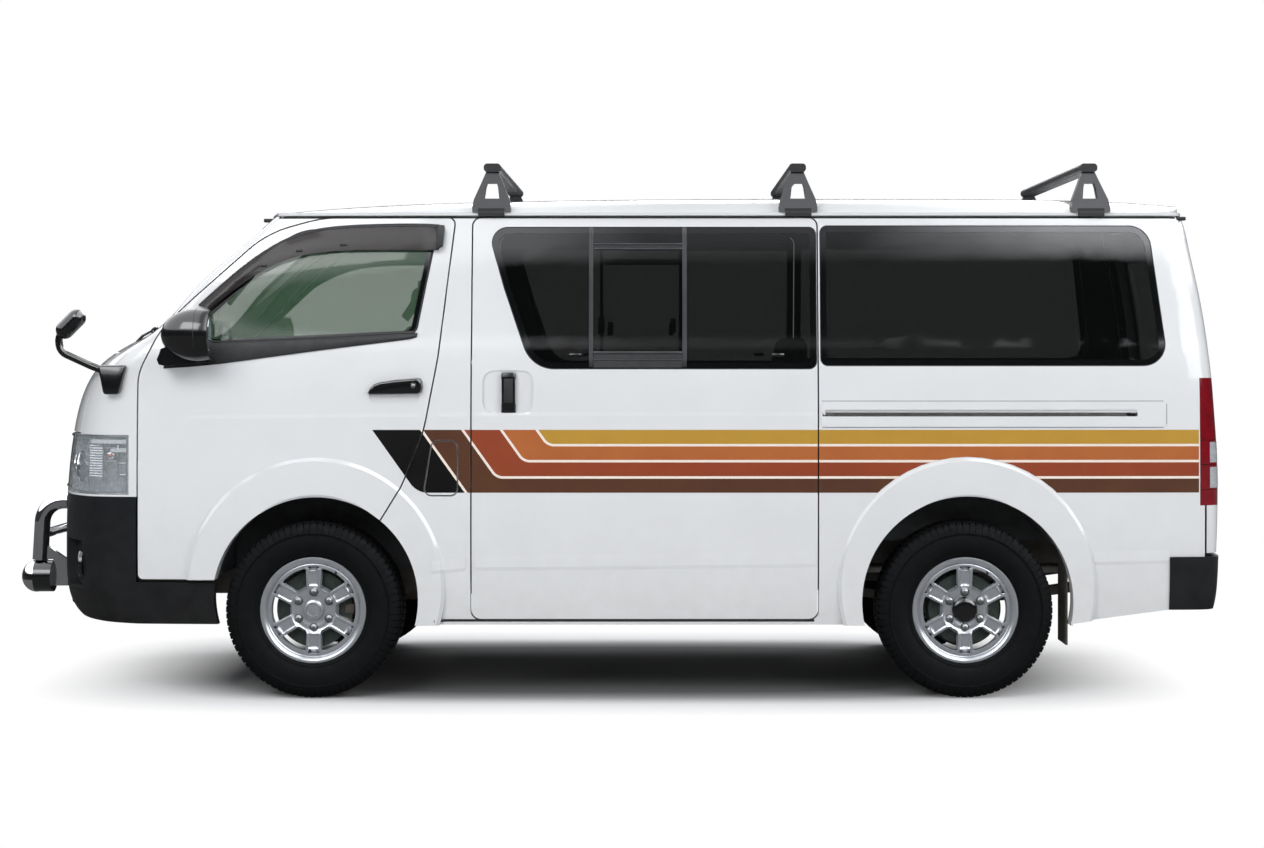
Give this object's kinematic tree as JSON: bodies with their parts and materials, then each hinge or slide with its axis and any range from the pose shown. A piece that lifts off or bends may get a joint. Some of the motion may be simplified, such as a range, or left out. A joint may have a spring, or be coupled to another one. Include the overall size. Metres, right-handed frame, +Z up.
{
  "type": "camper van",
  "caption": "Long one-box camper van with hinged front doors, tailgate and bonnet, steered front wheels, roof crossbars, nudge bar and alloy wheels.",
  "frame": {"origin": "on the ground below the middle of the van's bounding box", "axes": "+X to the rear, +Y to the van's right, +Z up"},
  "size_m": [4.8933, 2.02, 2.117],
  "materials": {
    "paint": "gloss white paint",
    "black_plastic": "grained black plastic",
    "tinted_glass": "dark tinted glass",
    "clear_glass": "pale green glass",
    "lens": "clear lens",
    "red_lens": "red lens",
    "chrome": "polished",
    "black_metal": "satin black",
    "chassis_black": "underbody black",
    "steel": "bare steel",
    "iron": "cast",
    "alloy": "silver lacquer",
    "tyre": "rubber",
    "cloth": "woven seat cloth",
    "wood": "oiled ply",
    "interior": "dark grained interior plastic",
    "rubber": "black rubber",
    "gloss_black": "gloss black"
  },
  "bodies": {
    "body": {"firewall": "chassis_black", "seam_pins": "steel", "roof_panel": "paint", "body_side_left": "paint", "body_side_right": "paint", "front_body": "paint", "floor_pan": "chassis_black", "windshield": "clear_glass", "side_glass": "tinted_glass", "front_bumper": "black_plastic", "rear_bumper": "black_plastic", "grille": "gloss_black", "headlamp_housings": "chrome", "headlamp_lenses": "lens", "tail_lamps": "red_lens", "nudge_bar": "chrome", "driving_lamps": "gloss_black", "roof_bars": "black_metal", "roof_bar_feet": "black_metal", "kerb_mirror": "gloss_black", "dashboard": "interior", "front_seats": "cloth", "rear_bench": "cloth", "bed_platform": "wood", "mattress": "cloth", "engine_block": "iron", "chassis_frame": "chassis_black", "rear_axle": "chassis_black", "fuel_tank": "black_metal", "exhaust": "steel", "mud_flaps": "rubber", "sliding_door_left": "paint", "sliding_door_right": "paint"},
    "front_door_left": {"front_door_left": "paint", "door_glass_left": "clear_glass", "door_mirror_left": "gloss_black"},
    "front_door_right": {"front_door_right": "paint", "door_glass_right": "clear_glass", "door_mirror_right": "gloss_black"},
    "tailgate": {"tailgate": "paint", "tailgate_glass": "tinted_glass"},
    "bonnet": {"bonnet": "paint"},
    "fuel_lid": {"fuel_lid": "paint"},
    "steering_wheel": {"steering_wheel": "interior"},
    "knuckle_left": {"knuckle_left": "iron"},
    "knuckle_right": {"knuckle_right": "iron"},
    "wheel_front_left": {"tyre_front_left": "tyre", "rim_front_left": "alloy"},
    "wheel_front_right": {"tyre_front_right": "tyre", "rim_front_right": "alloy"},
    "wheel_rear_left": {"tyre_rear_left": "tyre", "rim_rear_left": "alloy"},
    "wheel_rear_right": {"tyre_rear_right": "tyre", "rim_rear_right": "alloy"}
  },
  "joints": [
    {"name": "front_door_left_hinge", "type": "hinge", "parent": "body", "child": "front_door_left", "pos_m": [-1.86068, -0.817, 0.88], "axis": [0, 0, -1], "range_deg": [0, 65]},
    {"name": "front_door_right_hinge", "type": "hinge", "parent": "body", "child": "front_door_right", "pos_m": [-1.86068, 0.817, 0.88], "axis": [0, 0, 1], "range_deg": [0, 65]},
    {"name": "tailgate_hinge", "type": "hinge", "parent": "body", "child": "tailgate", "pos_m": [2.31732, 0, 1.893], "axis": [0, -1, 0], "range_deg": [0, 85]},
    {"name": "bonnet_hinge", "type": "hinge", "parent": "body", "child": "bonnet", "pos_m": [-2.06768, 0, 1.362], "axis": [0, 1, 0], "range_deg": [0, 50]},
    {"name": "fuel_lid_hinge", "type": "hinge", "parent": "body", "child": "fuel_lid", "pos_m": [-0.59458, -0.8453, 0.9], "axis": [0, 0, 1], "range_deg": [0, 85]},
    {"name": "knuckle_left_turn", "type": "hinge", "parent": "body", "child": "knuckle_left", "pos_m": [-1.16468, -0.672, 0.348], "axis": [0, 0, 1], "range_deg": [-30, 30]},
    {"name": "knuckle_right_turn", "type": "hinge", "parent": "body", "child": "knuckle_right", "pos_m": [-1.16468, 0.672, 0.348], "axis": [0, 0, 1], "range_deg": [-30, 30]},
    {"name": "steering_wheel_turn", "type": "hinge", "parent": "body", "child": "steering_wheel", "pos_m": [-1.47468, 0.4, 1.165], "axis": [0.766, 0, 0.6428], "range_deg": [-450, 450]},
    {"name": "wheel_front_left_spin", "type": "hinge", "parent": "knuckle_left", "child": "wheel_front_left", "pos_m": [-1.16468, -0.735, 0.348], "axis": [0, 1, 0], "continuous": true},
    {"name": "wheel_front_right_spin", "type": "hinge", "parent": "knuckle_right", "child": "wheel_front_right", "pos_m": [-1.16468, 0.735, 0.348], "axis": [0, 1, 0], "continuous": true},
    {"name": "wheel_rear_left_spin", "type": "hinge", "parent": "body", "child": "wheel_rear_left", "pos_m": [1.40532, -0.735, 0.348], "axis": [0, 1, 0], "continuous": true},
    {"name": "wheel_rear_right_spin", "type": "hinge", "parent": "body", "child": "wheel_rear_right", "pos_m": [1.40532, 0.735, 0.348], "axis": [0, 1, 0], "continuous": true}
  ],
  "couplings": [
    {"joint": "knuckle_right_turn", "follows": "knuckle_left_turn", "ratio": 1},
    {"joint": "steering_wheel_turn", "follows": "knuckle_left_turn", "ratio": 15}
  ]
}
